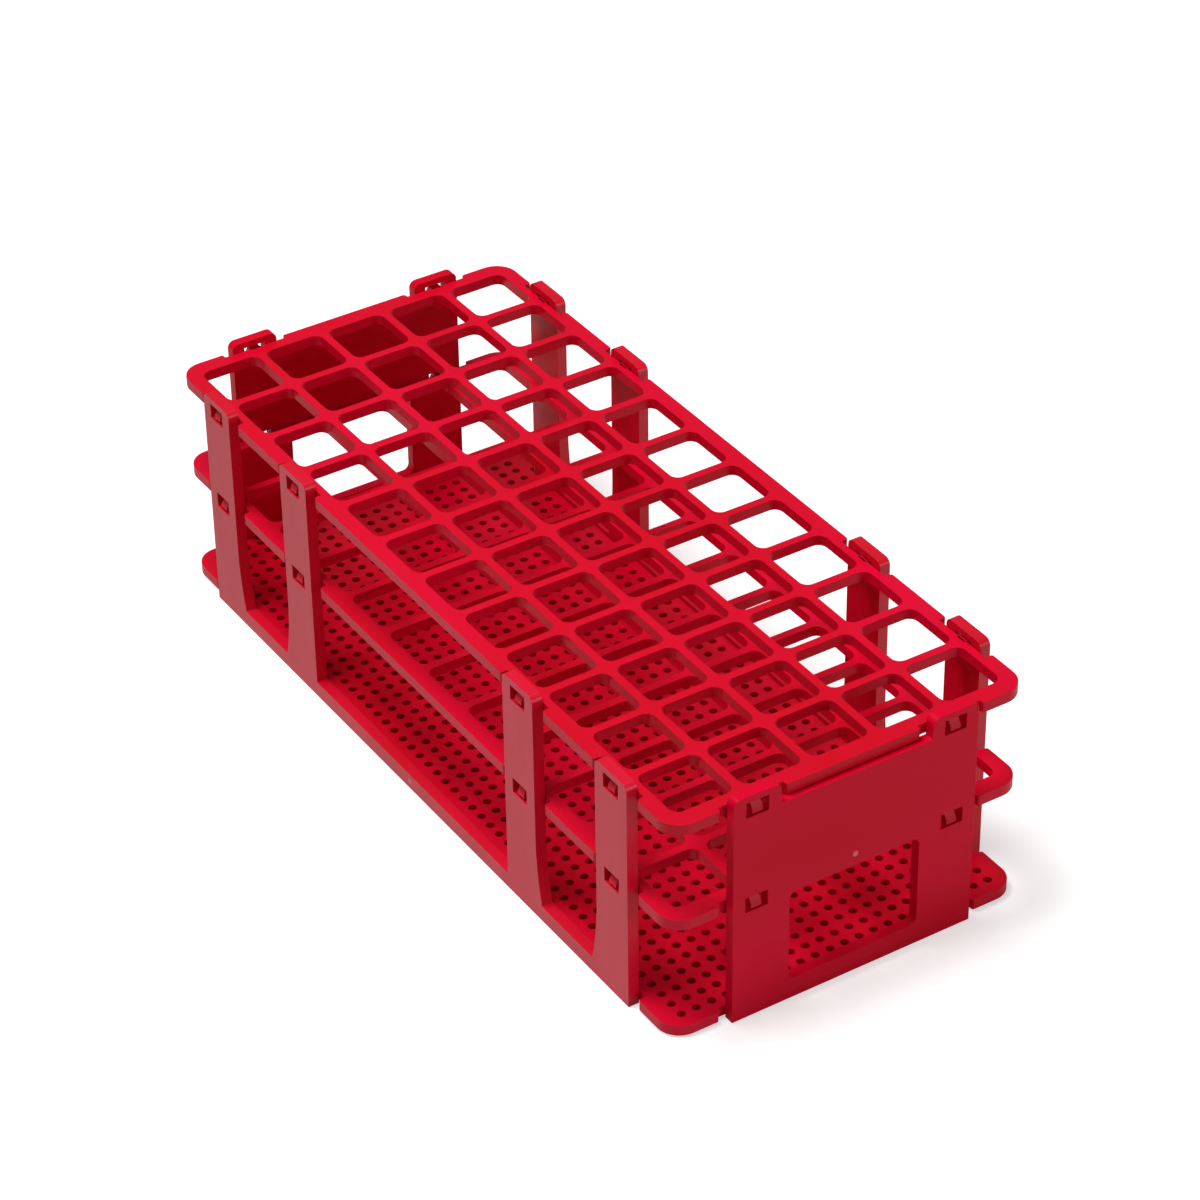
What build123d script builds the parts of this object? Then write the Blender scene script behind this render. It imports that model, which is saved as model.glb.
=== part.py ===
from build123d import *
import os

# Three-tier test tube rack of seven plastic mouldings that snap together, in millimetres.
# +Z is up, +X runs along the rack, and the origin is the middle of the footprint on the table.

os.makedirs("parts", exist_ok=True)

# Cells: the square openings that hold the tubes
cell_pitch = 20.0
cells_long = 12
cells_wide = 5
cell_wall = 2.4
cell_corner_cut = 1.5

# Trays: plates with a rim round the cells and a rounded tab at each corner
tray_thickness = 3.1
rim_end = 4.0
rim_side = 3.2
tab_corner = 6.5
notch_corner_cut = 0.8
table_gap = 0.6
lower_tier = 33.6
upper_tier = 29.2

# Drain holes of the bottom tray: a square lattice, of which every third row and column is cut here
drain_pitch = 4.5
drain_diameter = 2.4
drain_sides = 6
drain_step = 3
drain_columns = 18
drain_rows = 6

# Side frames: four straps on a low rail, standing in notches of the trays
strap_thickness = 3.2
strap_width = 14.2
strap_proud = 1.3
strap_rise = 2.6
strap_top_corner = 2.0
outer_strap_inset = 24.6
strap_spacing = 42.6
rail_height = 4.7
gap_corner = 3.0
flare_width = 2.4
flare_height = 20.0

# End panels: two hooked straps joined by a web with a window
panel_thickness = 3.0
panel_proud = 1.7
panel_inset = 16.7
hook_width = 14.0
window_jamb = 16.9
window_sill = 6.3
window_corner = 2.0

# Snaps: windows in the straps for wedges on the two upper trays, blind grooves for tongues on the lowest
snap_window_width = 6.6
snap_window_height = 4.5
wedge_width = 3.0
wedge_root = 0.6
wedge_land = 1.0
wedge_slope = 1.3
wedge_recess = 0.3
tongue_width = 9.0
tongue_reach = 1.1

# Clearances
edge_gap = 0.2
notch_gap = 2.5
web_gap = 0.3
groove_gap = 0.1

# Levels and planes that the pieces share
bottom_tray_z = table_gap
middle_tray_z = bottom_tray_z + lower_tier
top_tray_z = middle_tray_z + upper_tier
strap_top = top_tray_z + tray_thickness + strap_rise
half_length = cells_long * cell_pitch / 2 + rim_end
half_width = cells_wide * cell_pitch / 2 + rim_side
frame_outer_y = half_width + strap_proud
frame_inner_y = frame_outer_y - strap_thickness
panel_outer_x = half_length + panel_proud
panel_inner_x = panel_outer_x - panel_thickness
side_notch_y = frame_inner_y - edge_gap
end_notch_x = panel_inner_x - edge_gap
outer_strap_x = half_length - outer_strap_inset
inner_strap_x = outer_strap_x - strap_spacing
frame_half_length = outer_strap_x + strap_width / 2
panel_half_width = half_width - panel_inset
hook_y = panel_half_width - hook_width / 2
strap_places = [-outer_strap_x, -inner_strap_x, inner_strap_x, outer_strap_x]
hook_places = [-hook_y, hook_y]
snap_levels = [middle_tray_z + tray_thickness / 2, top_tray_z + tray_thickness / 2]

# What each strap or panel takes out of a tray's edge, as its middle and its width
strap_cuts = [(x, strap_width) for x in strap_places]
hook_cuts = [(y, hook_width) for y in hook_places]
rail_cut = [(0, 2 * frame_half_length)]
panel_cut = [(0, 2 * panel_half_width)]


def is_shoulder(vertex):
    """True for a corner where a notch meets a tray's straight outer edge."""
    on_side = abs(abs(vertex.Y) - half_width) < 0.01 and abs(vertex.X) < half_length - tab_corner - 0.01
    on_end = abs(abs(vertex.X) - half_length) < 0.01 and abs(vertex.Y) < half_width - tab_corner - 0.01
    return on_side or on_end


def draw_plate(outline, side_cuts, end_cuts):
    """Draws a tray's outline: a rectangle with rounded tabs, cut back where straps or panels pass."""
    Rectangle(2 * half_length, 2 * half_width)
    fillet(outline.vertices(), tab_corner)
    for side in (-1, 1):
        for middle, width in side_cuts:
            with Locations((middle, side * (side_notch_y + half_width))):
                Rectangle(width + 2 * notch_gap, 2 * half_width, mode=Mode.SUBTRACT)
        for middle, width in end_cuts:
            with Locations((side * (end_notch_x + half_length), middle)):
                Rectangle(2 * half_length, width + 2 * notch_gap, mode=Mode.SUBTRACT)
    # The notches' outer corners are eased, within the shallower notch's depth
    notch_depth = min(half_width - side_notch_y, half_length - end_notch_x)
    shoulders = outline.vertices().filter_by(is_shoulder)
    chamfer(shoulders, min(notch_corner_cut, notch_depth / 2))


def draw_cells():
    """Takes the grid of square tube openings, with their corners eased, out of a tray's outline."""
    with BuildSketch() as opening:
        Rectangle(cell_pitch - cell_wall, cell_pitch - cell_wall)
        chamfer(opening.vertices(), cell_corner_cut)
    with GridLocations(cell_pitch, cell_pitch, cells_long, cells_wide):
        add(opening.sketch, mode=Mode.SUBTRACT)


def edge_planes(level):
    """Upright planes square to the tray's edge at each strap and hook, facing outwards along local x."""
    up = Vector(0, 0, 1)
    planes = []
    for side in (-1, 1):
        out_y = Vector(0, side, 0)
        planes += [Plane((x, side * side_notch_y, level), x_dir=out_y, z_dir=out_y.cross(up)) for x in strap_places]
        out_x = Vector(side, 0, 0)
        planes += [Plane((side * end_notch_x, y, level), x_dir=out_x, z_dir=out_x.cross(up)) for y in hook_places]
    return planes


def add_wedges(level):
    """Adds the snap wedges: a short upright land at the tip, sloping back to the tray's upper face."""
    tip = edge_gap + strap_thickness - wedge_recess
    with BuildSketch(*edge_planes(level)) as wedges:
        with BuildLine() as section:
            Polyline(
                (-wedge_root, 0),
                (tip, 0),
                (tip, wedge_land),
                (tip - wedge_slope, tray_thickness),
                (-wedge_root, tray_thickness),
                close=True,
            )
        make_face(section.edges())
    extrude(wedges.sketch, amount=wedge_width / 2, both=True)


def add_tongues(level):
    """Adds the flat tongues that hold the lowest tray in the grooves of the straps."""
    with BuildSketch(*edge_planes(level)) as tongues:
        with Locations((0, tray_thickness / 2)):
            Rectangle(2 * (edge_gap + tongue_reach), tray_thickness)
    extrude(tongues.sketch, amount=tongue_width / 2, both=True)


def draw_outer_gap(middle):
    """Cuts the opening between an outer and an inner strap, which closes in along arcs at its foot."""
    half_gap = (strap_spacing - strap_width) / 2
    half_foot = half_gap - flare_width
    with BuildLine() as gap:
        Line((middle - half_foot, rail_height), (middle + half_foot, rail_height))
        for side in (-1, 1):
            shoulder = (middle + side * half_gap, rail_height + flare_height)
            TangentArc(shoulder, (middle + side * half_foot, rail_height), tangent=(0, -1))
            Line(shoulder, (middle + side * half_gap, strap_top))
        Line((middle - half_gap, strap_top), (middle + half_gap, strap_top))
    make_face(gap.edges(), mode=Mode.SUBTRACT)


def draw_side_frame(profile):
    """Draws the elevation of a side frame: four straps standing on a rail."""
    Rectangle(2 * frame_half_length, strap_top, align=(Align.CENTER, Align.MIN))
    with Locations((0, rail_height)):
        middle_gap = 2 * inner_strap_x - strap_width
        Rectangle(middle_gap, strap_top, align=(Align.CENTER, Align.MIN), mode=Mode.SUBTRACT)
    for side in (-1, 1):
        draw_outer_gap(side * (inner_strap_x + strap_spacing / 2))
    rows = profile.vertices().group_by(Axis.Y)
    fillet(rows[-1], strap_top_corner)
    fillet(rows[1], gap_corner)
    with Locations(*[(x, level) for x in strap_places for level in snap_levels]):
        Rectangle(snap_window_width, snap_window_height, mode=Mode.SUBTRACT)


def draw_end_panel(profile):
    """Draws the elevation of an end panel: a windowed web between two taller hooks."""
    Rectangle(2 * panel_half_width, strap_top, align=(Align.CENTER, Align.MIN))
    with Locations((0, top_tray_z - web_gap)):
        web_width = 2 * (panel_half_width - hook_width)
        Rectangle(web_width, strap_top, align=(Align.CENTER, Align.MIN), mode=Mode.SUBTRACT)
    rows = profile.vertices().group_by(Axis.Y)
    fillet(rows[-1], strap_top_corner)
    window_width = 2 * (panel_half_width - window_jamb)
    window_height = middle_tray_z - web_gap - window_sill
    with Locations((0, window_sill + window_height / 2)):
        RectangleRounded(window_width, window_height, window_corner, mode=Mode.SUBTRACT)
    with Locations(*[(y, level) for y in hook_places for level in snap_levels]):
        Rectangle(snap_window_width, snap_window_height, mode=Mode.SUBTRACT)


def cut_grooves(inner_face, places):
    """Cuts the blind grooves that take the lowest tray's tongues into the inner face of a strap's foot."""
    with BuildSketch(inner_face) as grooves:
        with Locations(*[(place, bottom_tray_z + tray_thickness / 2) for place in places]):
            Rectangle(tongue_width + 2 * edge_gap, tray_thickness + 2 * groove_gap)
    extrude(grooves.sketch, amount=tongue_reach + groove_gap, mode=Mode.SUBTRACT)


with BuildPart() as top_tray:
    with BuildSketch(Plane.XY.offset(top_tray_z)) as top_outline:
        draw_plate(top_outline, strap_cuts, hook_cuts)
        draw_cells()
    extrude(amount=tray_thickness)
    add_wedges(top_tray_z)

with BuildPart() as middle_tray:
    with BuildSketch(Plane.XY.offset(middle_tray_z)) as middle_outline:
        draw_plate(middle_outline, strap_cuts, panel_cut)
        draw_cells()
    extrude(amount=tray_thickness)
    add_wedges(middle_tray_z)

with BuildPart() as bottom_tray:
    with BuildSketch(Plane.XY.offset(bottom_tray_z)) as bottom_outline:
        draw_plate(bottom_outline, rail_cut, panel_cut)
        hole_spacing = drain_step * drain_pitch
        with GridLocations(hole_spacing, hole_spacing, drain_columns, drain_rows):
            RegularPolygon(drain_diameter / 2, drain_sides, mode=Mode.SUBTRACT)
    extrude(amount=tray_thickness)
    add_tongues(bottom_tray_z)

# Both side frames are one moulding, turned round for the other side
with BuildPart() as front_frame:
    with BuildSketch(Plane.XZ.offset(frame_outer_y)) as front_profile:
        draw_side_frame(front_profile)
    extrude(amount=-strap_thickness)
    cut_grooves(Plane.XZ.offset(frame_inner_y), strap_places)

with BuildPart() as rear_frame:
    add(front_frame.part, rotation=(0, 0, 180))

# The end panels are one moulding too
with BuildPart() as right_end_panel:
    with BuildSketch(Plane.YZ.offset(panel_outer_x)) as right_profile:
        draw_end_panel(right_profile)
    extrude(amount=-panel_thickness)
    cut_grooves(Plane.YZ.offset(panel_inner_x), hook_places)

with BuildPart() as left_end_panel:
    add(right_end_panel.part, rotation=(0, 0, 180))

pieces = {
    "top_tray": top_tray,
    "middle_tray": middle_tray,
    "bottom_tray": bottom_tray,
    "front_frame": front_frame,
    "rear_frame": rear_frame,
    "left_end_panel": left_end_panel,
    "right_end_panel": right_end_panel,
}
for name, piece in pieces.items():
    piece.part.label = name
    export_step(piece.part, f"parts/{name}.step")
    print(name, round(piece.part.volume), "mm3")
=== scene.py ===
# %% [markdown]
# # A three-tier test tube rack
# The rack is seven red plastic mouldings that snap together: three trays, two side frames and two
# end panels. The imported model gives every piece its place. This script keeps those places, gives
# the mouldings their soft edges and round openings, and lights them on a white table.

# %% Load the frame
import math

import bmesh
import bpy
from mathutils import Matrix, Vector


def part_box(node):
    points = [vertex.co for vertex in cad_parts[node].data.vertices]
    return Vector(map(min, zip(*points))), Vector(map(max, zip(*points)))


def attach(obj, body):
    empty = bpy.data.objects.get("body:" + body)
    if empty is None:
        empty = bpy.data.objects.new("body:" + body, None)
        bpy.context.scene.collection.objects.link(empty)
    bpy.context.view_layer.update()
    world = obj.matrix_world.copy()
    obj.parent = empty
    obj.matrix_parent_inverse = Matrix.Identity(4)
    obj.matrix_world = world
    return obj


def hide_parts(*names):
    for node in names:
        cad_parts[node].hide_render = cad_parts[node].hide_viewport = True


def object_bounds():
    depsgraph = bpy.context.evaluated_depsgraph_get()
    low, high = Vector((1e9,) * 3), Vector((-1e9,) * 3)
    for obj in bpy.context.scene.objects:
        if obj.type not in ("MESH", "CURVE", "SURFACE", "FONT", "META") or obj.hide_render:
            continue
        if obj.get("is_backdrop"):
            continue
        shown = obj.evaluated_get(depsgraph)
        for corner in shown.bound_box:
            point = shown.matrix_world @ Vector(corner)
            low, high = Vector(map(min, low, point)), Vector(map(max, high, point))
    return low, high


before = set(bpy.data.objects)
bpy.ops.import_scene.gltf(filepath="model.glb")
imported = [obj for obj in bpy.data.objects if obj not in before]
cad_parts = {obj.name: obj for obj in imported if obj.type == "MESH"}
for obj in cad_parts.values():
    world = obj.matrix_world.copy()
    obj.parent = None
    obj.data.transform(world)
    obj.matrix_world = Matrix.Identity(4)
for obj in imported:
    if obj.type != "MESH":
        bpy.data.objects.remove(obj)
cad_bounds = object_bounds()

MM = 0.001


def in_mm(values):
    """Lengths in metres as rounded millimetres, for printing."""
    return [round(value / MM, 2) for value in values]


print("CAD box in mm", [in_mm(corner) for corner in cad_bounds])

# %% [markdown]
# ## Sizes that the pieces share
# The trays, frames and panels of the real rack meet at the same planes, or they would not snap
# together. Those planes could all be typed in again, but most are read from the boxes of the
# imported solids, so that they can't drift apart. Only what a box doesn't tell is a number here.

# %% Shared sizes
TRAY_THICKNESS = 3.1 * MM
HALF_LENGTH = 124.0 * MM
HALF_WIDTH = 53.2 * MM
STRAP_THICKNESS = 3.2 * MM
STRAP_WIDTH = 14.2 * MM
STRAP_SPACING = 42.6 * MM
HOOK_WIDTH = 14.0 * MM
EDGE_GAP = 0.2 * MM

frame_low, frame_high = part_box("front_frame")
panel_low, panel_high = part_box("right_end_panel")
frame_half_length = frame_high.x
panel_half_width = panel_high.y
side_notch_y = -frame_high.y - EDGE_GAP
end_notch_x = panel_low.x - EDGE_GAP
outer_strap_x = frame_half_length - STRAP_WIDTH / 2
inner_strap_x = outer_strap_x - STRAP_SPACING
hook_y = panel_half_width - HOOK_WIDTH / 2
strap_places = [-outer_strap_x, -inner_strap_x, inner_strap_x, outer_strap_x]
hook_places = [-hook_y, hook_y]
print("straps in mm", in_mm(strap_places), "hooks in mm", in_mm(hook_places))
print("notch floors in mm", in_mm([side_notch_y, end_notch_x]))

# %% [markdown]
# ## Writing node trees in script
# Shaders and Geometry Nodes are both graphs of nodes. They could be built with three lines for
# every node and link, which is long and hard to follow. Two small classes keep them readable: one
# adds a node in a single call, and one wraps an output so that sums on it add their Math nodes.

# %% Node helpers
class Socket:
    """An output of a node. Sums on it add Math nodes, so that node maths reads like maths."""

    def __init__(self, graph, socket):
        self.graph = graph
        self.socket = socket

    def sibling(self, name):
        """Another output of the same node."""
        return Socket(self.graph, self.socket.node.outputs[name])

    def math(self, operation, other, reflected=False):
        """A Math node on this output and another value, which comes first if reflected."""
        pair = {0: other, 1: self} if reflected else {0: self, 1: other}
        return self.graph.node("ShaderNodeMath", {"operation": operation}, pair)

    def __add__(self, other):
        return self.math("ADD", other)

    def __radd__(self, other):
        return self.math("ADD", other, True)

    def __sub__(self, other):
        return self.math("SUBTRACT", other)

    def __rsub__(self, other):
        return self.math("SUBTRACT", other, True)

    def __mul__(self, other):
        return self.math("MULTIPLY", other)

    def __rmul__(self, other):
        return self.math("MULTIPLY", other, True)

    def __truediv__(self, other):
        return self.math("DIVIDE", other)

    def __rtruediv__(self, other):
        return self.math("DIVIDE", other, True)


class Graph:
    """A node tree that grows by one call for each node."""

    def __init__(self, tree):
        self.tree = tree

    def node(self, kind, settings=None, sockets=None, output=0):
        """Adds a node, sets it up, fills its sockets with values or links, and gives one output."""
        made = self.tree.nodes.new(kind)
        for name, value in (settings or {}).items():
            if name == "stops":
                self.set_stops(made.color_ramp, value)
            else:
                setattr(made, name, value)
        for key, value in (sockets or {}).items():
            self.plug(made.inputs[key], value)
        return Socket(self, made.outputs[output]) if made.outputs else None

    def plug(self, target, value):
        """Links an output, or each of several, to an input, or sets the input's own value."""
        for item in value if isinstance(value, list) else [value]:
            if isinstance(item, Socket):
                self.tree.links.new(item.socket, target)
            else:
                target.default_value = item

    def set_stops(self, ramp, stops):
        """Places a colour ramp's stops, given as (position, grey level)."""
        while len(ramp.elements) < len(stops):
            ramp.elements.new(0.5)
        for element, (position, level) in zip(ramp.elements, stops):
            element.position = position
            element.color = (level, level, level, 1.0)


def shader_graph(owner):
    """An empty graph for the nodes of a material or of the world."""
    owner.use_nodes = True
    owner.node_tree.nodes.clear()
    return Graph(owner.node_tree)


def noise(graph, place, scale, detail):
    """A grey noise, with its scale in waves per metre."""
    sockets = {"Vector": place, "Scale": scale, "Detail": detail, "Roughness": 0.5}
    return graph.node("ShaderNodeTexNoise", {"noise_dimensions": "3D"}, sockets)


def mixed(graph, factor, first, second):
    """A blend of two colours. Sockets 6 and 7 and output 2 of a Mix node are its colours."""
    sockets = {0: factor, 6: first, 7: second}
    return graph.node("ShaderNodeMix", {"data_type": "RGBA"}, sockets, 2)


def eased(graph, value, start, end):
    """A smooth step between two (value, result) pairs."""
    sockets = {
        "Value": value,
        "From Min": start[0],
        "From Max": end[0],
        "To Min": start[1],
        "To Max": end[1],
    }
    return graph.node("ShaderNodeMapRange", {"interpolation_type": "SMOOTHSTEP"}, sockets)


print("helpers ready:", Socket.__name__, Graph.__name__)

# %% [markdown]
# ## The plastic
# The rack is moulded in red polypropylene, a soft, slightly waxy plastic with a satin gloss. Its
# colour drifts a little where the melt flowed, its gloss is broken by a faint cloudiness, and its
# skin has the very fine grain of the mould. A painted texture could show this, but it would need
# UVs. Noise on Object coordinates gives all three, at 40 mm, 6 mm and under 1 mm, and it stays put
# on a piece from every side. The drift is stretched along the way the melt ran, and a small pale
# scar marks the gate where it went in.

# %% Plastic recipe
DEEP_RED = (0.60, 0.0006, 0.013, 1.0)
CRIMSON = (0.72, 0.0008, 0.030, 1.0)
GATE_PINK = (0.9, 0.35, 0.4, 1.0)
DRIFT_WAVES = 25.0
CLOUD_WAVES = 170.0
GRAIN_WAVES = 2600.0
TONE_STOPS = [(0.3, 0.0), (0.7, 1.0)]
SATIN = 0.30
CLOUD_ROUGHNESS = 0.12
CLOUD_HEIGHT = 0.6
GRAIN_HEIGHT = 0.4
SKIN_STRENGTH = 0.25
SKIN_DEPTH = 0.05 * MM
PLASTIC_IOR = 1.49
GATE_RADIUS = 0.6 * MM
GATE_EDGE = 1.0 * MM
GATE_PALENESS = 0.5
GATE_DEPTH = 2.0
GATE_ROUGHNESS = 0.25


def gate_mask(graph, place, spot):
    """1 on the round scar where the melt went in, and 0 away from it."""
    pair = {0: place, 1: spot}
    gap = graph.node("ShaderNodeVectorMath", {"operation": "DISTANCE"}, pair, "Value")
    return eased(graph, gap, (GATE_RADIUS, 1.0), (GATE_EDGE, 0.0))


def plastic(name, flow, gloss, gates=()):
    """The moulded plastic. Flow scales the drift on each axis, and is small along the melt."""
    material = bpy.data.materials.new(name)
    graph = shader_graph(material)
    place = graph.node("ShaderNodeTexCoord", output="Object")
    stretch = {"Vector": place, "Scale": flow}
    along = graph.node("ShaderNodeMapping", {"vector_type": "POINT"}, stretch)
    drift = noise(graph, along, DRIFT_WAVES, detail=2.0)
    cloud = noise(graph, along, CLOUD_WAVES, detail=3.0)
    grain = noise(graph, place, GRAIN_WAVES, detail=2.0)
    tone = graph.node("ShaderNodeValToRGB", {"stops": TONE_STOPS}, {"Fac": drift})
    base = mixed(graph, tone, DEEP_RED, CRIMSON)
    rough = SATIN + CLOUD_ROUGHNESS * cloud
    height = grain * GRAIN_HEIGHT + cloud * CLOUD_HEIGHT
    for spot in gates:
        scar = gate_mask(graph, place, spot)
        base = mixed(graph, scar * GATE_PALENESS, base, GATE_PINK)
        height = height - scar * GATE_DEPTH
        rough = rough + scar * GATE_ROUGHNESS
    relief = {"Height": height, "Strength": SKIN_STRENGTH, "Distance": SKIN_DEPTH}
    finish = {
        "Base Color": base,
        "Roughness": rough,
        "Normal": graph.node("ShaderNodeBump", {}, relief),
        "IOR": PLASTIC_IOR,
        "Specular IOR Level": gloss,
    }
    shader = graph.node("ShaderNodeBsdfPrincipled", {}, finish)
    graph.node("ShaderNodeOutputMaterial", {}, {"Surface": shader})
    return material


print("noise in waves per metre", DRIFT_WAVES, CLOUD_WAVES, GRAIN_WAVES)

# %% [markdown]
# ## One plastic for each kind of moulding
# The melt is taken to have run along the trays, up the straps and across the end panels. The
# straps are the glossiest pieces and show the table as a pale sheen, and the panels are nearly
# matt. One material could serve all seven, but then the straps would look dull or the panels wet.
# So each kind of moulding has its own, from the one recipe.

# %% Three plastics
RAIL_GATE_HEIGHT = 2.4 * MM
WEB_GATE_HEIGHT = 37.5 * MM
frame_outer_y = -frame_low.y
panel_outer_x = panel_high.x
rail_gates = [(0.0, side * frame_outer_y, RAIL_GATE_HEIGHT) for side in (-1, 1)]
web_gates = [(side * panel_outer_x, 0.0, WEB_GATE_HEIGHT) for side in (1, -1)]

tray_plastic = plastic("tray_plastic", flow=(0.4, 1.0, 1.0), gloss=0.18)
frame_plastic = plastic("frame_plastic", flow=(1.0, 1.0, 0.25), gloss=0.42, gates=rail_gates)
panel_plastic = plastic("panel_plastic", flow=(1.0, 0.3, 1.0), gloss=0.10, gates=web_gates)
print("materials", [material.name for material in (tray_plastic, frame_plastic, panel_plastic)])

# %% [markdown]
# ## From working mesh to finished piece
# A moulding has no sharp edges: the mould rounds them all. A Bevel modifier does the same on any
# closed mesh, limited by angle so that flat and gently curved parts are left alone. The normals
# are then weighted by area, so that a flat face stays flat right up to its rounded edge. Every
# finished piece is a plain mesh at the origin, with its place in its points.

# %% Mesh helpers
MEETING = 0.002 * MM
ONE_PLANE = math.radians(0.5)
ROUNDED_FROM = math.radians(50)
SHARP_FROM = math.radians(40)


def object_of(mesh, name):
    """An object in the scene that shows this mesh."""
    made = bpy.data.objects.new(name, mesh)
    bpy.context.scene.collection.objects.link(made)
    return made


def worked_in(obj):
    """The object's mesh with its modifiers worked in. The object itself is removed."""
    bpy.context.view_layer.update()
    depsgraph = bpy.context.evaluated_depsgraph_get()
    shown = obj.evaluated_get(depsgraph)
    mesh = bpy.data.meshes.new_from_object(
        shown, preserve_all_data_layers=True, depsgraph=depsgraph
    )
    bpy.data.objects.remove(obj)
    return mesh


def closed(mesh, flatten=False):
    """Merges points that meet, joins faces in one plane if asked, and turns all faces outwards."""
    work = bmesh.new()
    work.from_mesh(mesh)
    bmesh.ops.remove_doubles(work, verts=work.verts, dist=MEETING)
    if flatten:
        bmesh.ops.dissolve_limit(work, angle_limit=ONE_PLANE, verts=work.verts, edges=work.edges)
    bmesh.ops.recalc_face_normals(work, faces=work.faces)
    work.to_mesh(mesh)
    work.free()
    return mesh


def softened(mesh, name, width, segments):
    """Rounds the sharp edges of a closed mesh and gives the finished piece."""
    sharp = object_of(mesh, name + "_sharp")
    bevel = sharp.modifiers.new("soft edges", "BEVEL")
    bevel.width = width
    bevel.segments = segments
    bevel.limit_method = "ANGLE"
    bevel.angle_limit = ROUNDED_FROM
    bevel.use_clamp_overlap = True
    soft = worked_in(sharp)
    soft.shade_smooth()
    soft.set_sharp_from_angle(angle=SHARP_FROM)
    weighted = object_of(soft, name + "_soft")
    normals = weighted.modifiers.new("flat faces", "WEIGHTED_NORMAL")
    normals.keep_sharp = True
    finished = worked_in(weighted)
    finished.name = name
    return object_of(finished, name)


def settle(piece, material, node):
    """Gives a finished piece its plastic and lets it stand for a CAD node."""
    piece.data.materials.clear()
    piece.data.materials.append(material)
    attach(piece, "root")
    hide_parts(node)
    triangles = sum(len(face.vertices) - 2 for face in piece.data.polygons)
    print(piece.name, "has", triangles, "triangles")


print("edges over", round(math.degrees(ROUNDED_FROM)), "degrees are rounded")

# %% [markdown]
# ## Outline of a tray
# A tray is a plate with a round tab at each corner. Its edge steps back where a strap, a hook or a
# whole panel passes. The outline could be cut from a plate with Booleans, but a list is simpler:
# square corners with a radius each, for the near side and the right end. The other half is the
# same turned round, and then each corner becomes an arc.

# %% Tray outlines
TAB_CORNER = 6.5 * MM
NOTCH_MOUTH = 0.7 * MM
NOTCH_FOOT = 0.4 * MM
NOTCH_GAP = 2.5 * MM
TAB_STEPS = 10
NOTCH_STEPS = 4


def cut_ranges(places, width):
    """Where the notches for straps or hooks at these places start and end."""
    reach = width / 2 + NOTCH_GAP
    return [(place - reach, place + reach) for place in places]


def half_outline(side_cuts, end_cuts):
    """(x, y, radius) of the corners along the near side and the right end."""
    corners = [(-HALF_LENGTH, -HALF_WIDTH, TAB_CORNER)]
    for start, end in side_cuts:
        corners.append((start, -HALF_WIDTH, NOTCH_MOUTH))
        corners.append((start, -side_notch_y, NOTCH_FOOT))
        corners.append((end, -side_notch_y, NOTCH_FOOT))
        corners.append((end, -HALF_WIDTH, NOTCH_MOUTH))
    corners.append((HALF_LENGTH, -HALF_WIDTH, TAB_CORNER))
    for start, end in end_cuts:
        corners.append((HALF_LENGTH, start, NOTCH_MOUTH))
        corners.append((end_notch_x, start, NOTCH_FOOT))
        corners.append((end_notch_x, end, NOTCH_FOOT))
        corners.append((HALF_LENGTH, end, NOTCH_MOUTH))
    return corners


def rounded(corners):
    """The points of a closed line whose square corners are rounded to their radii."""
    points = []
    for i, (x, y, radius) in enumerate(corners):
        here = Vector((x, y, 0))
        before = Vector((*corners[i - 1][:2], 0))
        after = Vector((*corners[(i + 1) % len(corners)][:2], 0))
        back = (before - here).normalized()
        ahead = (after - here).normalized()
        centre = here + radius * (back + ahead)
        steps = TAB_STEPS if radius == TAB_CORNER else NOTCH_STEPS
        for step in range(steps + 1):
            turn = math.pi / 2 * step / steps
            points.append(centre - radius * (ahead * math.cos(turn) + back * math.sin(turn)))
    return points


strap_cuts = cut_ranges(strap_places, STRAP_WIDTH)
hook_cuts = cut_ranges(hook_places, HOOK_WIDTH)
rail_cut = cut_ranges([0.0], 2 * frame_half_length)
panel_cut = cut_ranges([0.0], 2 * panel_half_width)
print("outline corners", 2 * len(half_outline(strap_cuts, hook_cuts)))

# %% [markdown]
# ## Places of the snaps
# Every tray snaps in at twelve places: at four straps on each side and two hooks at each end. The
# places could be typed into each tree. Instead they are loose points in the outline's own mesh,
# with a named attribute for the way they face, which Geometry Nodes can read.

# %% Snap places
def snap_points():
    """(place, turn) of each snap, on the floors of the notches."""
    points = []
    for side in (-1, 1):
        points += [(Vector((x, side * side_notch_y, 0)), side * math.pi / 2) for x in strap_places]
    for side in (-1, 1):
        facing = (1 - side) * math.pi / 2
        points += [(Vector((side * end_notch_x, y, 0)), facing) for y in hook_places]
    return points


def tray_base(name, side_cuts, end_cuts):
    """A mesh of the outline's edges, and a loose point with a turn for each snap."""
    half = half_outline(side_cuts, end_cuts)
    line = rounded(half + [(-x, -y, radius) for x, y, radius in half])
    count = len(line)
    edges = [(i, (i + 1) % count) for i in range(count)]
    snaps = snap_points()
    mesh = bpy.data.meshes.new(name + "_base")
    mesh.from_pydata(line + [place for place, turn in snaps], edges, [])
    turns = mesh.attributes.new("snap_turn", "FLOAT", "POINT")
    flags = mesh.attributes.new("snap_place", "BOOLEAN", "POINT")
    for i, (place, turn) in enumerate(snaps):
        turns.data[count + i].value = turn
        flags.data[count + i].value = True
    return object_of(mesh, name + "_base")


print("snaps on each tray", len(snap_points()))

# %% [markdown]
# ## Snaps
# The two upper trays carry wedges that click into the windows of the straps and hooks: upright at
# the tip, sloping back above. The lowest tray has flat tongues instead, which sit in blind grooves.
# Each is one small prism, made once, and the trees below set it round the edge.

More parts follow.
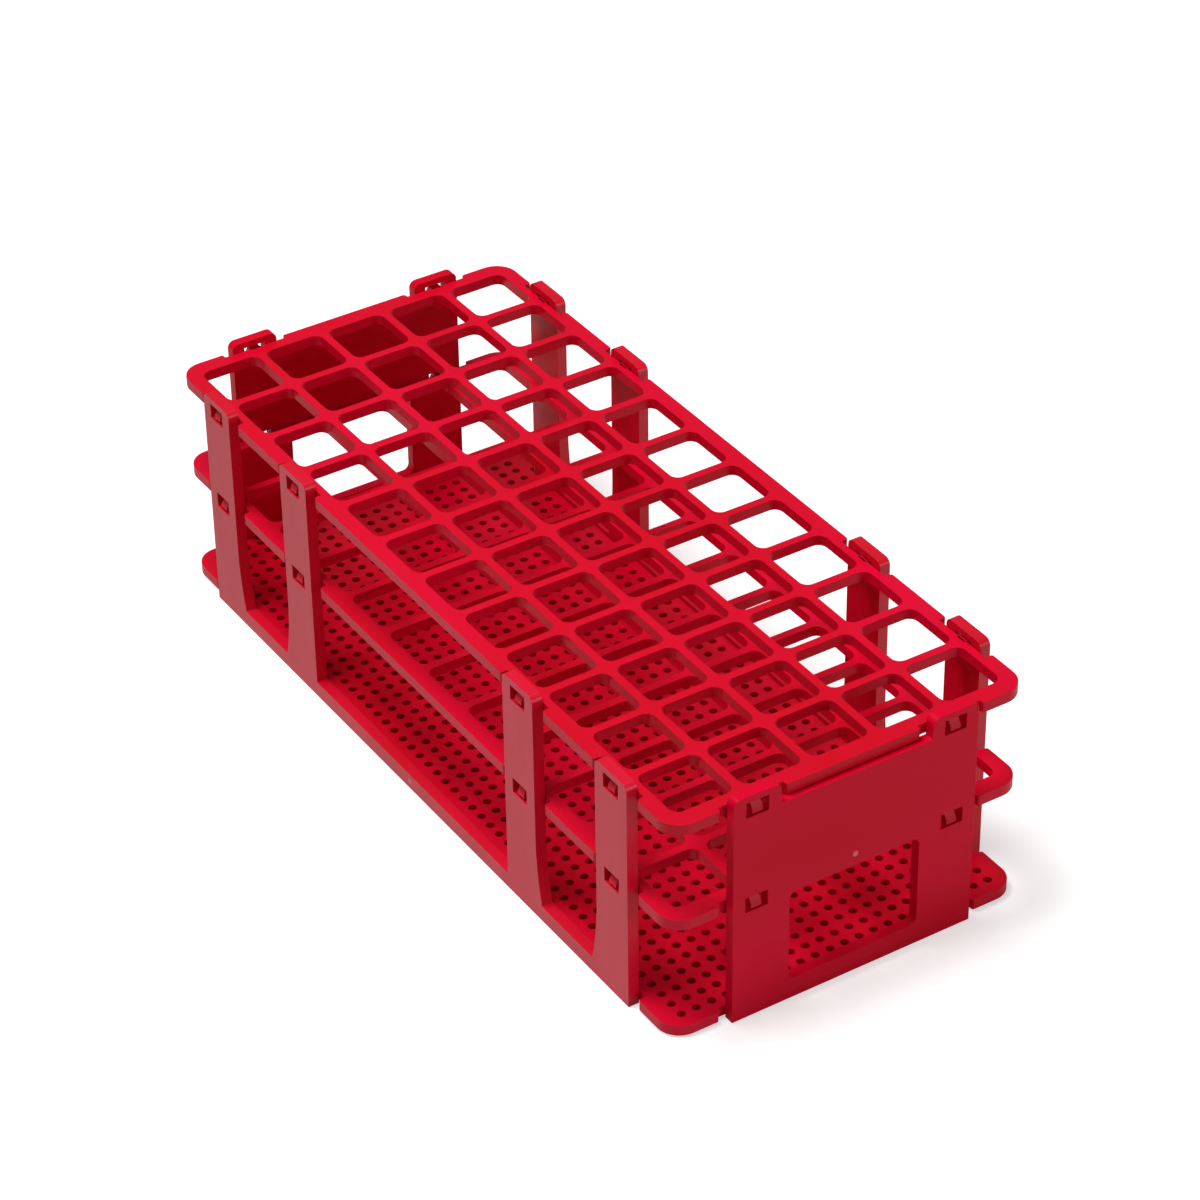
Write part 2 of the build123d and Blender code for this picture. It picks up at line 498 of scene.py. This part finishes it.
# %% Snap shapes
WEDGE_WIDTH = 3.0 * MM
WEDGE_ROOT = 0.6 * MM
WEDGE_LAND = 1.0 * MM
WEDGE_SLOPE = 1.3 * MM
WEDGE_RECESS = 0.3 * MM
TONGUE_WIDTH = 9.0 * MM
TONGUE_REACH = 1.1 * MM


def prism(name, section, width):
    """A prism with its section in the x-z plane, centred on y."""
    count = len(section)
    points = [(x, side * width / 2, z) for side in (-1, 1) for x, z in section]
    faces = [tuple(range(count)), tuple(range(2 * count - 1, count - 1, -1))]
    faces += [(i, i + count, (i + 1) % count + count, (i + 1) % count) for i in range(count)]
    mesh = bpy.data.meshes.new(name)
    mesh.from_pydata(points, [], faces)
    return object_of(closed(mesh), name)


wedge_tip = EDGE_GAP + STRAP_THICKNESS - WEDGE_RECESS
wedge_section = [
    (-WEDGE_ROOT, 0.0),
    (wedge_tip, 0.0),
    (wedge_tip, WEDGE_LAND),
    (wedge_tip - WEDGE_SLOPE, TRAY_THICKNESS),
    (-WEDGE_ROOT, TRAY_THICKNESS),
]
wedge = prism("snap_wedge", wedge_section, WEDGE_WIDTH)
tongue_tip = EDGE_GAP + TONGUE_REACH
tongue_section = [
    (-tongue_tip, 0.0),
    (tongue_tip, 0.0),
    (tongue_tip, TRAY_THICKNESS),
    (-tongue_tip, TRAY_THICKNESS),
]
tongue = prism("snap_tongue", tongue_section, TONGUE_WIDTH)
print("wedge and tongue reach in mm", in_mm([wedge_tip, tongue_tip]))

# %% [markdown]
# ## What all trays have in common
# A tray is the classic case for Geometry Nodes: one opening, repeated on a grid. Each tree makes a
# flat sheet with its openings. From there on all trays are alike: the sheet is extruded to a plate
# and closed below, and the snaps are set on their points. These steps are written once, and both
# trees end with them.

# %% Tree parts that all trays share
SHARED_INPUTS = [
    ("Columns", "NodeSocketInt"),
    ("Rows", "NodeSocketInt"),
    ("Pitch", "NodeSocketFloat"),
    ("Opening", "NodeSocketFloat"),
    ("Thickness", "NodeSocketFloat"),
    ("Snap", "NodeSocketObject"),
    ("Material", "NodeSocketMaterial"),
]


def new_tree(name, inputs):
    """An empty modifier tree with these named inputs, its graph, and its inputs as sockets."""
    tree = bpy.data.node_groups.new(name, "GeometryNodeTree")
    tree.interface.new_socket("Geometry", in_out="OUTPUT", socket_type="NodeSocketGeometry")
    tree.interface.new_socket("Geometry", in_out="INPUT", socket_type="NodeSocketGeometry")
    for label, kind in inputs:
        tree.interface.new_socket(label, in_out="INPUT", socket_type=kind)
    graph = Graph(tree)
    source = tree.nodes.new("NodeGroupInput")
    given = {socket.name: Socket(graph, socket) for socket in source.outputs if socket.name}
    return tree, graph, given


def joined(graph, parts):
    """Several geometries as one."""
    return graph.node("GeometryNodeJoinGeometry", {}, {"Geometry": parts})


def merged(graph, geometry):
    """The geometry with its meeting points made one."""
    sockets = {"Geometry": geometry, "Distance": MEETING}
    return graph.node("GeometryNodeMergeByDistance", {}, sockets)


def filled(graph, curves):
    """A flat sheet between closed curves, with the inner ones as openings."""
    return graph.node("GeometryNodeFillCurve", {"mode": "TRIANGLES"}, {"Curve": curves})


def grid_points(graph, given):
    """The middle points of a grid of openings."""
    sockets = {
        "Size X": given["Pitch"] * (given["Columns"] - 1),
        "Size Y": given["Pitch"] * (given["Rows"] - 1),
        "Vertices X": given["Columns"],
        "Vertices Y": given["Rows"],
    }
    return graph.node("GeometryNodeMeshGrid", {}, sockets)


def set_on(graph, points, shape, choices=None):
    """The shape on every point, or on the chosen ones, as real geometry."""
    sockets = {"Points": points, "Instance": shape, **(choices or {})}
    copies = graph.node("GeometryNodeInstanceOnPoints", {}, sockets)
    return graph.node("GeometryNodeRealizeInstances", {}, {"Geometry": copies})


def named(graph, name, kind):
    """An attribute of the tray's base mesh, by its name."""
    return graph.node("GeometryNodeInputNamedAttribute", {"data_type": kind}, {"Name": name})


def end_tree(graph, given, sheet):
    """Extrudes the sheet to a plate, adds the snaps, sets the material and ends the tree."""
    up = graph.node("ShaderNodeCombineXYZ", {}, {"Z": 1.0})
    lift = {"Mesh": sheet, "Offset": up, "Offset Scale": given["Thickness"], "Individual": False}
    raised = graph.node("GeometryNodeExtrudeMesh", {"mode": "FACES"}, lift)
    under = graph.node("GeometryNodeFlipFaces", {}, {"Mesh": sheet})
    plate = merged(graph, joined(graph, [raised, under]))
    facing = graph.node("ShaderNodeCombineXYZ", {}, {"Z": named(graph, "snap_turn", "FLOAT")})
    choices = {"Selection": named(graph, "snap_place", "BOOLEAN"), "Rotation": facing}
    shape = graph.node("GeometryNodeObjectInfo", {}, {"Object": given["Snap"]}, "Geometry")
    snaps = set_on(graph, given["Geometry"], shape, choices)
    whole = {"Geometry": joined(graph, [plate, snaps])}
    real = graph.node("GeometryNodeRealizeInstances", {}, whole)
    finish = {"Geometry": real, "Material": given["Material"]}
    painted = graph.node("GeometryNodeSetMaterial", {}, finish)
    end = graph.tree.nodes.new("NodeGroupOutput")
    graph.plug(end.inputs["Geometry"], painted)


def make_tray(name, base, tree, values):
    """Runs a tree on a tray's outline and gives the closed mesh at the tray's level."""
    modifier = base.modifiers.new("tray", "NODES")
    modifier.node_group = tree
    items = [item for item in tree.interface.items_tree if item.in_out == "INPUT"]
    keys = {item.name: item.identifier for item in items}
    for label, value in values.items():
        modifier[keys[label]] = value
    mesh = closed(worked_in(base))
    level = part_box(name)[0].z
    mesh.transform(Matrix.Translation((0, 0, level)))
    print(name, "at", in_mm([level]), "mm has", len(mesh.polygons), "faces before rounding")
    return mesh


print("inputs of the tray trees", [label for label, kind in SHARED_INPUTS])

# %% [markdown]
# ## The two cell trays
# The upper trays are all openings: sixty square cells with round corners, between ribs 2.4 mm
# wide. In the tree a rounded square is set on every point of a grid, joined with the outline, and
# the space between is filled. Booleans could cut the cells too, but they are slower and leave
# untidy faces. The same tree makes both trays, and only their outlines differ.

# %% Cell trays
CELL_PITCH = 20.0 * MM
CELL_COLUMNS = 12
CELL_ROWS = 5
CELL_WIDTH = 17.6 * MM
CELL_CORNER = 2.6 * MM
CELL_CORNER_POINTS = 5
CELL_TRAY_EDGE = 0.45 * MM


def cell_tree():
    """A plate with a grid of rounded square openings."""
    tree, graph, given = new_tree("cell_tray", SHARED_INPUTS + [("Corner", "NodeSocketFloat")])
    sides = {"Width": given["Opening"], "Height": given["Opening"]}
    corner = {
        "Curve": graph.node("GeometryNodeCurvePrimitiveQuadrilateral", {}, sides),
        "Radius": given["Corner"],
        "Count": CELL_CORNER_POINTS,
        "Limit Radius": True,
    }
    opening = graph.node("GeometryNodeFilletCurve", {"mode": "POLY"}, corner)
    openings = set_on(graph, grid_points(graph, given), opening)
    edge = graph.node("GeometryNodeMeshToCurve", {}, {"Mesh": given["Geometry"]})
    end_tree(graph, given, filled(graph, joined(graph, [edge, openings])))
    return tree


cell_tray_tree = cell_tree()
cell_values = {
    "Columns": CELL_COLUMNS,
    "Rows": CELL_ROWS,
    "Pitch": CELL_PITCH,
    "Opening": CELL_WIDTH,
    "Corner": CELL_CORNER,
    "Thickness": TRAY_THICKNESS,
    "Snap": wedge,
    "Material": tray_plastic,
}
for node, end_cuts in (("top_tray", hook_cuts), ("middle_tray", panel_cut)):
    mesh = make_tray(node, tray_base(node, strap_cuts, end_cuts), cell_tray_tree, cell_values)
    piece = softened(mesh, node + "_moulding", CELL_TRAY_EDGE, segments=2)
    settle(piece, tray_plastic, node)

# %% [markdown]
# ## The drain tray
# The lowest tray has round holes 2.4 mm wide every 4.5 mm, nearly twelve hundred of them. Filling
# a sheet round so many is slow, so here the repeat is a tile: a ring of twelve faces between one
# round hole and a square of one pitch. Tiles meet edge to edge. The rim of the field they make is
# turned into a curve, and the border between it and the outline is filled.

# %% Drain tray
DRAIN_PITCH = 4.5 * MM
DRAIN_COLUMNS = 54
DRAIN_ROWS = 22
DRAIN_RADIUS = 1.2 * MM
DRAIN_SIDES = 12
DRAIN_TRAY_EDGE = 0.25 * MM
RIM_SLACK = 0.01 * MM


def drain_tile(graph, given, place, reach):
    """A flat tile: a ring of points round the hole, and the same pushed out to a square."""
    circle = {"Vertices": DRAIN_SIDES, "Radius": given["Opening"]}
    ring = graph.node("GeometryNodeMeshCircle", {"fill_type": "NONE"}, circle)
    half_step = (0.0, 0.0, math.pi / DRAIN_SIDES)
    turned = graph.node("GeometryNodeTransform", {}, {"Geometry": ring, "Rotation": half_step})
    spread = {"Mesh": turned, "Offset Scale": 0.0}
    strip = graph.node("GeometryNodeExtrudeMesh", {"mode": "EDGES"}, spread)
    outwards = {"Vector": place, "Scale": given["Pitch"] * 0.5 / reach}
    square = graph.node("ShaderNodeVectorMath", {"operation": "SCALE"}, outwards)
    moved = {"Geometry": strip, "Selection": strip.sibling("Top"), "Position": square}
    return graph.node("GeometryNodeSetPosition", {}, moved)


def drain_tree():
    """A plate of square tiles with a round hole each, inside a plain border."""
    tree, graph, given = new_tree("drain_tray", SHARED_INPUTS)
    place = graph.node("GeometryNodeInputPosition")
    x = graph.node("ShaderNodeSeparateXYZ", {}, {"Vector": place}, "X")
    far_x = graph.node("ShaderNodeMath", {"operation": "ABSOLUTE"}, {0: x})
    far_y = graph.node("ShaderNodeMath", {"operation": "ABSOLUTE"}, {0: x.sibling("Y")})
    tile = drain_tile(graph, given, place, far_x.math("MAXIMUM", far_y))
    field = merged(graph, set_on(graph, grid_points(graph, given), tile))
    half_field_x = given["Pitch"] * given["Columns"] * 0.5
    half_field_y = given["Pitch"] * given["Rows"] * 0.5
    past_x = far_x.math("GREATER_THAN", half_field_x - RIM_SLACK)
    past_y = far_y.math("GREATER_THAN", half_field_y - RIM_SLACK)
    on_rim = graph.node("FunctionNodeBooleanMath", {"operation": "OR"}, {0: past_x, 1: past_y})
    rim = graph.node("GeometryNodeMeshToCurve", {}, {"Mesh": field, "Selection": on_rim})
    edge = graph.node("GeometryNodeMeshToCurve", {}, {"Mesh": given["Geometry"]})
    border = filled(graph, joined(graph, [edge, rim]))
    end_tree(graph, given, merged(graph, joined(graph, [field, border])))
    return tree


drain_values = {
    "Columns": DRAIN_COLUMNS,
    "Rows": DRAIN_ROWS,
    "Pitch": DRAIN_PITCH,
    "Opening": DRAIN_RADIUS,
    "Thickness": TRAY_THICKNESS,
    "Snap": tongue,
    "Material": tray_plastic,
}
drain_base = tray_base("bottom_tray", rail_cut, panel_cut)
mesh = make_tray("bottom_tray", drain_base, drain_tree(), drain_values)
piece = softened(mesh, "bottom_tray_moulding", DRAIN_TRAY_EDGE, segments=1)
settle(piece, tray_plastic, "bottom_tray")
for pattern in (wedge, tongue):
    bpy.data.objects.remove(pattern)

# %% [markdown]
# ## Side frames and end panels
# The two side frames are one moulding, and so are the two end panels. Their solids already have
# every window, groove and flare, so modelling them again would add nothing. A CAD mesh is loose
# triangles. A copy is merged, its flat faces are joined, and the bevel rounds its edges, which
# then catch the light along straps and windows.

# %% Frames and panels
FRAME_EDGE = 0.35 * MM
for node, material in (
    ("front_frame", frame_plastic),
    ("rear_frame", frame_plastic),
    ("left_end_panel", panel_plastic),
    ("right_end_panel", panel_plastic),
):
    mesh = closed(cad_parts[node].data.copy(), flatten=True)
    piece = softened(mesh, node + "_moulding", FRAME_EDGE, segments=2)
    settle(piece, material, node)

# %% [markdown]
# ## Table
# The rack stands on a plain white table. More light would make any table white, but it would wash
# out the rack too. Instead the table adds a little light of its own, seen by the camera and, more
# faintly, in reflections. It reads as white paper and still keeps the soft shadow under the rack,
# and further off it fades to plain white.

# %% Table
WHITE = (1.0, 1.0, 1.0, 1.0)
BLACK = (0.0, 0.0, 0.0, 1.0)
TABLE_GREY = (0.66, 0.66, 0.66, 1.0)
TABLE_REACH = 3.0
TABLE_WAVES = 300.0
TABLE_GLOSS = 0.2
MIRRORED_TABLE = 0.15
GLOW_NEAR = (0.4, 0.55)
GLOW_FAR = (1.3, 1.0)


def ray_kinds(graph):
    """1 or 0 for rays from the camera, from reflections, and through clear things."""
    seen = graph.node("ShaderNodeLightPath", output="Is Camera Ray")
    return seen, seen.sibling("Is Glossy Ray"), seen.sibling("Is Transmission Ray")


def table_material():
    """White paper, which glows a little for the camera."""
    material = bpy.data.materials.new("white_table")
    graph = shader_graph(material)
    seen, mirrored, through = ray_kinds(graph)
    shown = seen + mirrored * MIRRORED_TABLE + through
    place = graph.node("ShaderNodeTexCoord", output="Object")
    away = graph.node("ShaderNodeVectorMath", {"operation": "LENGTH"}, {0: place}, "Value")
    level = eased(graph, away, GLOW_NEAR, GLOW_FAR)
    finish = {
        "Base Color": TABLE_GREY,
        "Roughness": 0.7 + 0.1 * noise(graph, place, TABLE_WAVES, detail=2.0),
        "Specular IOR Level": TABLE_GLOSS,
        "Emission Color": mixed(graph, shown * level, BLACK, WHITE),
        "Emission Strength": 1.0,
    }
    shader = graph.node("ShaderNodeBsdfPrincipled", {}, finish)
    graph.node("ShaderNodeOutputMaterial", {}, {"Surface": shader})
    return material


quarters = ((-1, -1), (1, -1), (1, 1), (-1, 1))
corners = [(x * TABLE_REACH, y * TABLE_REACH, 0) for x, y in quarters]
mesh = bpy.data.meshes.new("table")
mesh.from_pydata(corners, [], [(0, 1, 2, 3)])
mesh.materials.append(table_material())
table = object_of(mesh, "table")
table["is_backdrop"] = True
print("table reaches", TABLE_REACH, "m each way")

# %% [markdown]
# ## Light
# A moulded rack looks flat in light from all round. So one large soft lamp above gives the bright
# trays and the dark cells between them, and a weaker one at the right end lights the panel. The
# room itself is nearly dark, which keeps the red deep, but the camera sees it as white.

# %% Lamps and world
RACK_MIDDLE = Vector((0, 0, 0.03))
ROOM_LIGHT = 0.08
MIRRORED_ROOM = 0.12


def lamp(name, place, width, height, power):
    """A soft rectangular lamp that points at the middle of the rack."""
    data = bpy.data.lights.new(name, "AREA")
    data.shape = "RECTANGLE"
    data.size = width
    data.size_y = height
    data.energy = power
    made = bpy.data.objects.new(name, data)
    made.location = place
    made.rotation_euler = (RACK_MIDDLE - Vector(place)).to_track_quat("-Z", "Y").to_euler()
    bpy.context.scene.collection.objects.link(made)
    print("lamp", name, "of", power, "W")


lamp("ceiling", place=(-0.15, -0.3, 1.3), width=0.6, height=0.6, power=18.0)
lamp("right_end", place=(1.4, 0.5, 0.5), width=0.9, height=0.6, power=5.5)

world = bpy.data.worlds.new("white_room")
bpy.context.scene.world = world
graph = shader_graph(world)
seen, mirrored, through = ray_kinds(graph)
strength = ROOM_LIGHT + (1 - ROOM_LIGHT) * (seen + through) + MIRRORED_ROOM * mirrored
sky = graph.node("ShaderNodeBackground", {}, {"Color": WHITE, "Strength": strength})
graph.node("ShaderNodeOutputWorld", {}, {"Surface": sky})
print("world", world.name, "with room light", ROOM_LIGHT)

# %% [markdown]
# ## Camera
# The camera stands well back with a long lens, to the right of the near side and about 35 degrees
# up. It could be placed by eye, but a long lens hides small errors until they show at the edges.
# So its place, turn and lens were worked out from the grid of cells, whose pitch is known.

# %% Camera
AZIMUTH = 57.696
ELEVATION = 35.187
ROLL = -0.833
CAMERA_PLACE = (0.7592, -0.47382, 0.67101)
LENS = 123.186
SENSOR_WIDTH = 36.0
FARTHEST = 20.0

data = bpy.data.cameras.new("camera")
data.sensor_width = SENSOR_WIDTH
data.lens = LENS
data.clip_end = FARTHEST
camera = bpy.data.objects.new("camera", data)
bpy.context.scene.collection.objects.link(camera)
turn = Matrix.Rotation(math.radians(AZIMUTH), 4, "Z")
tilt = Matrix.Rotation(math.radians(90 - ELEVATION), 4, "X")
roll = Matrix.Rotation(math.radians(ROLL), 4, "Z")
camera.matrix_world = Matrix.Translation(CAMERA_PLACE) @ turn @ tilt @ roll
bpy.context.scene.camera = camera
bpy.context.scene.view_settings.view_transform = "Standard"
print("camera", round(Vector(CAMERA_PLACE).length, 3), "m from the rack, lens", LENS, "mm")

# %% [markdown]
# ## The size at the end
# The dressed rack has to stay as large as its solids. Its box is printed here in the same way as
# the box of the solids at the start.

# %% Print the size
visual_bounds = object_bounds()
print("visual box in mm", [in_mm(corner) for corner in visual_bounds])
